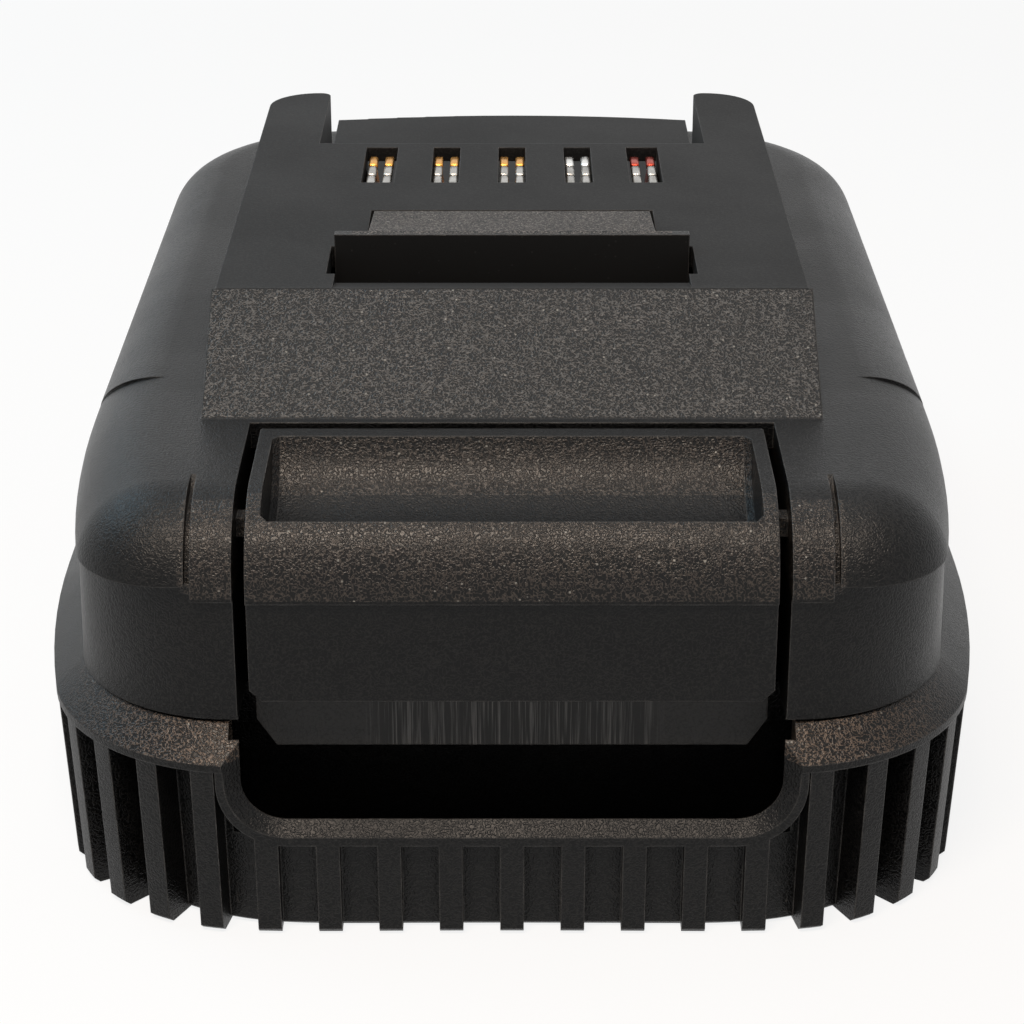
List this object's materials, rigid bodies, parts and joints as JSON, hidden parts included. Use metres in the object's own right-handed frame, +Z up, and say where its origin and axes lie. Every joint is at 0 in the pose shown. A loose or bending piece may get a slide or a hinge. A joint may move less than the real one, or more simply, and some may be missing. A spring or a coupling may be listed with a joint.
{
  "type": "battery adapter",
  "caption": "Low black battery adapter for cordless tools: ribbed base with a receiver underneath, rounded shell with ramp, rails, contact slots, sprung latch and wide release button.",
  "frame": {"origin": "centre of the footprint, on the face that it rests on", "axes": "+X to the right seen from the release button, +Y from the release button to the rear along the slide direction, +Z up"},
  "size_m": [0.0848, 0.1204, 0.0474],
  "materials": {
    "black_plastic": "fine spark-eroded grain, satin",
    "base_plastic": "fine spark-eroded grain, satin",
    "contact_plastic": "smooth black moulding",
    "tinned_contact": "tinned copper alloy",
    "steel": "zinc plated",
    "board": "dark solder mask with white and gold marks",
    "component_case": "moulded epoxy",
    "capacitor_sleeve": "shrink sleeve",
    "resistor_body": "ceramic with tinned ends",
    "black_insulation": "silicone insulation",
    "red_insulation": "silicone insulation"
  },
  "bodies": {
    "housing": {"base_shell": "base_plastic", "upper_shell": "black_plastic", "housing_screws": "steel", "source_block": "contact_plastic", "source_blade_1": "tinned_contact", "source_blade_2": "tinned_contact", "source_blade_3": "tinned_contact", "source_blade_4": "tinned_contact", "terminal_clip_1": "tinned_contact", "terminal_clip_2": "tinned_contact", "terminal_clip_3": "tinned_contact", "terminal_clip_4": "tinned_contact", "terminal_clip_5": "tinned_contact", "circuit_board": "board", "terminal_carrier": "contact_plastic", "mosfets": "component_case", "control_chip": "component_case", "capacitor": "capacitor_sleeve", "resistors": "resistor_body", "board_screws": "steel", "lead_negative": "black_insulation", "lead_positive": "red_insulation", "latch_spring_left": "steel", "latch_spring_right": "steel"},
    "latch": {"release_button": "black_plastic", "latch_slider": "black_plastic"}
  },
  "joints": [
    {"name": "button_press", "type": "slide", "parent": "housing", "child": "latch", "axis": [0, 0, -1], "range_m": [0, 0.004], "stiffness_N_per_m": 1200, "springref_m": -0.002, "deforming": ["latch_spring_left", "latch_spring_right"]}
  ]
}
